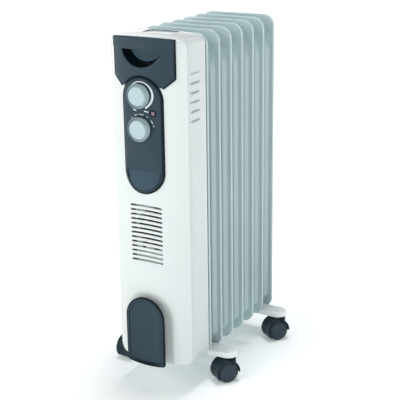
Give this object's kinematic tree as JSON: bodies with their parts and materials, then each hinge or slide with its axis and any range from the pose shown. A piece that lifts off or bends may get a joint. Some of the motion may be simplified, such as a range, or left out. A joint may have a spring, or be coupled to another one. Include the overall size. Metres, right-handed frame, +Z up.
{
  "type": "oil filled radiator heater",
  "caption": "Free-standing oil filled radiator heater: finned column body, barrel-fronted control box with knobs and fan grille, on twin-wheel casters.",
  "frame": {"origin": "on the floor below the middle of the heater's overall box", "axes": "+Z up, -Y towards the control box front, X across the fins' width"},
  "size_m": [0.251, 0.358, 0.628],
  "materials": {
    "white_shell": "glossy white moulding",
    "fin_paint": "light grey baked enamel on pressed steel",
    "bracket_paint": "light grey paint on pressed steel",
    "slate_plastic": "satin slate grey moulding",
    "knob_plastic": "pale blue-grey satin moulding",
    "black_plastic": "black heat-resistant moulding",
    "caster_plastic": "charcoal moulding",
    "wheel_plastic": "charcoal moulding, slightly lighter",
    "plated_steel": "zinc plated steel",
    "lamp_lens": "translucent dull pink lens",
    "lamp_glass": "small neon lamp",
    "terminal_plastic": "natural nylon",
    "mica_board": "mica board with heater wire"
  },
  "bodies": {
    "heater": {"fin_1": "fin_paint", "fin_2": "fin_paint", "fin_3": "fin_paint", "fin_4": "fin_paint", "fin_5": "fin_paint", "fin_6": "fin_paint", "fin_7": "fin_paint", "rear_upper_cap": "fin_paint", "rear_lower_cap": "fin_paint", "filler_plug": "plated_steel", "heating_element": "plated_steel", "element_flange": "plated_steel", "front_cover": "white_shell", "control_housing": "white_shell", "heat_shield": "plated_steel", "carry_well": "white_shell", "handle_panel": "slate_plastic", "handle_bar": "slate_plastic", "finger_well": "slate_plastic", "control_strip": "slate_plastic", "thermostat_body": "black_plastic", "selector_switch": "black_plastic", "control_plate": "plated_steel", "indicator_lens": "lamp_lens", "indicator_lamp": "lamp_glass", "thermal_cutout": "plated_steel", "terminal_block": "terminal_plastic", "fixing_screws": "plated_steel", "fan_frame": "black_plastic", "fan_motor": "plated_steel", "fan_heater": "mica_board", "cord_tongue": "slate_plastic", "cord_gland": "black_plastic", "front_foot_bracket": "bracket_paint", "rear_foot_bracket": "bracket_paint", "u_bolts": "plated_steel", "wing_nuts": "plated_steel", "stem_sockets": "plated_steel"},
    "thermostat_dial": {"thermostat_knob": "knob_plastic", "thermostat_spindle": "plated_steel"},
    "selector_dial": {"selector_knob": "knob_plastic", "selector_spindle": "plated_steel"},
    "fan_rotor": {"fan_impeller": "black_plastic"},
    "caster_front_right": {"caster_front_right_hood": "caster_plastic", "caster_front_right_axle": "plated_steel"},
    "wheel_front_right_outer": {"caster_front_right_outer_wheel": "wheel_plastic"},
    "wheel_front_right_inner": {"caster_front_right_inner_wheel": "wheel_plastic"},
    "caster_front_left": {"caster_front_left_hood": "caster_plastic", "caster_front_left_axle": "plated_steel"},
    "wheel_front_left_outer": {"caster_front_left_outer_wheel": "wheel_plastic"},
    "wheel_front_left_inner": {"caster_front_left_inner_wheel": "wheel_plastic"},
    "caster_rear_right": {"caster_rear_right_hood": "caster_plastic", "caster_rear_right_axle": "plated_steel"},
    "wheel_rear_right_outer": {"caster_rear_right_outer_wheel": "wheel_plastic"},
    "wheel_rear_right_inner": {"caster_rear_right_inner_wheel": "wheel_plastic"},
    "caster_rear_left": {"caster_rear_left_hood": "caster_plastic", "caster_rear_left_axle": "plated_steel"},
    "wheel_rear_left_outer": {"caster_rear_left_outer_wheel": "wheel_plastic"},
    "wheel_rear_left_inner": {"caster_rear_left_inner_wheel": "wheel_plastic"}
  },
  "joints": [
    {"name": "thermostat_turn", "type": "hinge", "parent": "heater", "child": "thermostat_dial", "pos_m": [0, -0.168, 0.5357], "axis": [0, 1, 0], "range_deg": [-82, 155]},
    {"name": "selector_turn", "type": "hinge", "parent": "heater", "child": "selector_dial", "pos_m": [0, -0.168, 0.4802], "axis": [0, 1, 0], "range_deg": [-45, 75]},
    {"name": "fan_spin", "type": "hinge", "parent": "heater", "child": "fan_rotor", "pos_m": [0, -0.146, 0.293], "axis": [0, -1, 0], "continuous": true},
    {"name": "front_right_swivel", "type": "hinge", "parent": "heater", "child": "caster_front_right", "pos_m": [0.106, -0.05445, 0.05], "axis": [0, 0, 1], "continuous": true},
    {"name": "front_right_outer_roll", "type": "hinge", "parent": "caster_front_right", "child": "wheel_front_right_outer", "pos_m": [0.09854, -0.0651, 0.02], "axis": [0.8192, -0.5736, 0], "continuous": true},
    {"name": "front_right_inner_roll", "type": "hinge", "parent": "caster_front_right", "child": "wheel_front_right_inner", "pos_m": [0.09854, -0.0651, 0.02], "axis": [0.8192, -0.5736, 0], "continuous": true},
    {"name": "front_left_swivel", "type": "hinge", "parent": "heater", "child": "caster_front_left", "pos_m": [-0.106, -0.05445, 0.05], "axis": [0, 0, 1], "continuous": true},
    {"name": "front_left_outer_roll", "type": "hinge", "parent": "caster_front_left", "child": "wheel_front_left_outer", "pos_m": [-0.10692, -0.06742, 0.02], "axis": [0.9975, -0.0706, 0], "continuous": true},
    {"name": "front_left_inner_roll", "type": "hinge", "parent": "caster_front_left", "child": "wheel_front_left_inner", "pos_m": [-0.10692, -0.06742, 0.02], "axis": [0.9975, -0.0706, 0], "continuous": true},
    {"name": "rear_right_swivel", "type": "hinge", "parent": "heater", "child": "caster_rear_right", "pos_m": [0.106, 0.14905, 0.05], "axis": [0, 0, 1], "continuous": true},
    {"name": "rear_right_outer_roll", "type": "hinge", "parent": "caster_rear_right", "child": "wheel_rear_right_outer", "pos_m": [0.09854, 0.1384, 0.02], "axis": [0.8192, -0.5736, 0], "continuous": true},
    {"name": "rear_right_inner_roll", "type": "hinge", "parent": "caster_rear_right", "child": "wheel_rear_right_inner", "pos_m": [0.09854, 0.1384, 0.02], "axis": [0.8192, -0.5736, 0], "continuous": true},
    {"name": "rear_left_swivel", "type": "hinge", "parent": "heater", "child": "caster_rear_left", "pos_m": [-0.106, 0.14905, 0.05], "axis": [0, 0, 1], "continuous": true},
    {"name": "rear_left_outer_roll", "type": "hinge", "parent": "caster_rear_left", "child": "wheel_rear_left_outer", "pos_m": [-0.10692, 0.13608, 0.02], "axis": [0.9975, -0.0706, 0], "continuous": true},
    {"name": "rear_left_inner_roll", "type": "hinge", "parent": "caster_rear_left", "child": "wheel_rear_left_inner", "pos_m": [-0.10692, 0.13608, 0.02], "axis": [0.9975, -0.0706, 0], "continuous": true}
  ]
}
